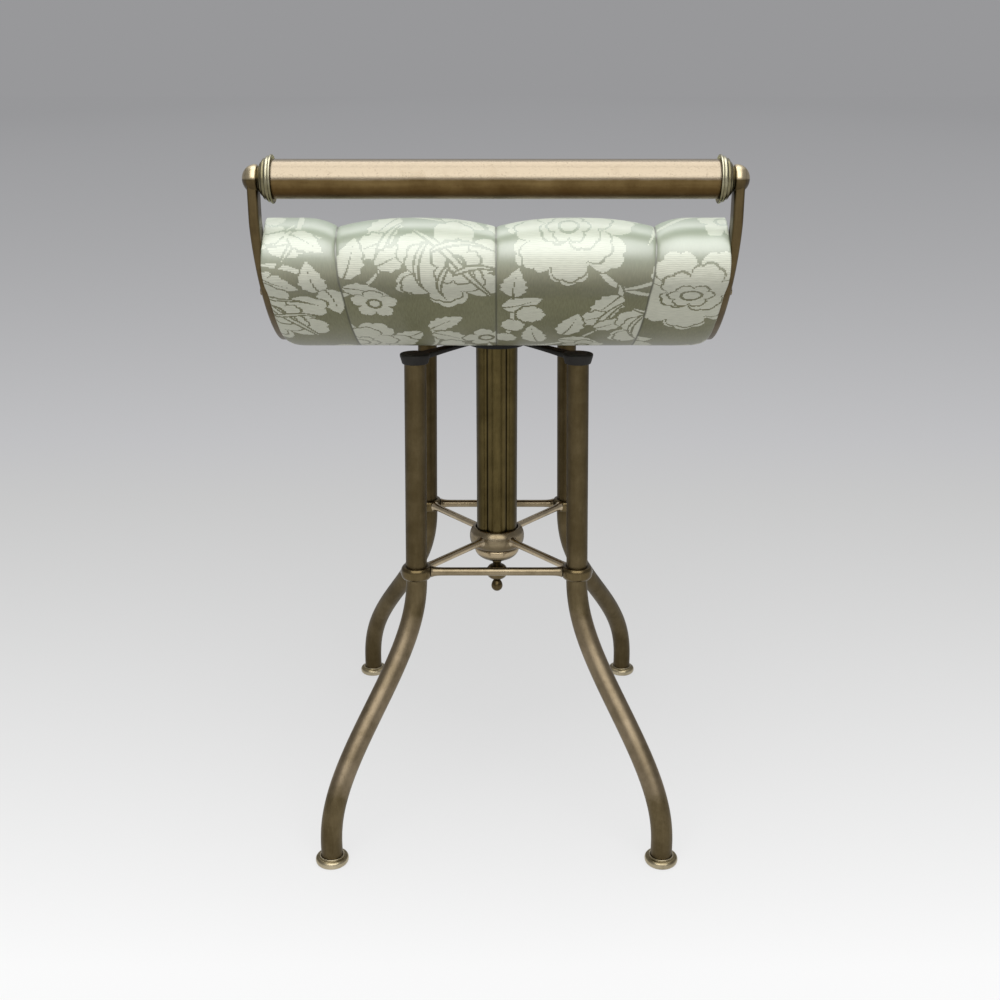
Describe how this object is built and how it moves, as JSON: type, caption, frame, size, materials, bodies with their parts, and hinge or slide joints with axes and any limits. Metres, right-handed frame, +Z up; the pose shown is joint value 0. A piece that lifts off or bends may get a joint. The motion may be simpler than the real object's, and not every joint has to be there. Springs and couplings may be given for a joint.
{
  "type": "music stool",
  "caption": "Music stool with a scooped, channel-padded damask seat, a brass grip rail, a reeded column with a rising screw, and a splayed tubular brass stand.",
  "frame": {"origin": "on the floor, under the axis of the column and of the rising screw", "axes": "+Z up along the column, -Y towards the grip rail at the seat's back, +X to the right as seen from the grip rail's side"},
  "size_m": [0.3738, 0.449, 0.6107],
  "materials": {
    "aged_brass": "tarnished satin",
    "pale_brass": "worn bright",
    "black_iron": "black japanned",
    "steel": "turned",
    "beech": "bare",
    "damask": "woven with a silk sheen"
  },
  "bodies": {
    "base": {"collar_back_left": "aged_brass", "collar_back_right": "aged_brass", "collar_front_left": "aged_brass", "collar_front_right": "aged_brass", "column_cap": "aged_brass", "column_plug": "beech", "column_tube": "aged_brass", "finial": "aged_brass", "finial_stud": "steel", "foot_back_left": "pale_brass", "foot_back_right": "pale_brass", "foot_front_left": "pale_brass", "foot_front_right": "pale_brass", "grub_screw_back_left": "steel", "grub_screw_back_right": "steel", "grub_screw_front_left": "steel", "grub_screw_front_right": "steel", "hub_ring": "pale_brass", "leg_back_left": "aged_brass", "leg_back_right": "aged_brass", "leg_front_left": "aged_brass", "leg_front_right": "aged_brass", "nut_screw_1": "steel", "nut_screw_2": "steel", "nut_screw_3": "steel", "spindle_nut": "aged_brass", "spoke_back_left": "aged_brass", "spoke_back_right": "aged_brass", "spoke_front_left": "aged_brass", "spoke_front_right": "aged_brass", "stretcher_back": "aged_brass", "stretcher_front": "aged_brass", "stud_nut": "steel", "thrust_washer": "steel", "top_spider": "black_iron"},
    "riser": {"spindle_guide": "beech"},
    "seat": {"screw_spindle": "steel", "guide_washer": "steel", "guide_nut": "steel", "seat_plate": "black_iron", "plate_screw_1": "steel", "plate_screw_2": "steel", "plate_screw_3": "steel", "plate_screw_4": "steel", "seat_board": "beech", "seat_cushion": "damask", "strap_left": "aged_brass", "strap_right": "aged_brass", "strap_screw_left_1": "aged_brass", "strap_screw_left_2": "aged_brass", "strap_screw_right_1": "aged_brass", "strap_screw_right_2": "aged_brass", "rail_tube": "aged_brass", "rail_rod": "steel", "rail_cup_left": "pale_brass", "rail_cup_right": "pale_brass", "rail_nut_left": "pale_brass", "rail_nut_right": "pale_brass"}
  },
  "joints": [
    {"name": "seat_rise", "type": "slide", "parent": "base", "child": "riser", "axis": [0, 0, 1], "range_m": [0, 0.1]},
    {"name": "seat_turn", "type": "hinge", "parent": "riser", "child": "seat", "pos_m": [0, 0, 0.4], "axis": [0, 0, 1], "range_deg": [0, 2880]}
  ],
  "couplings": [
    {"joint": "seat_rise", "follows": "seat_turn", "m_per_rad": 0.0019894}
  ]
}
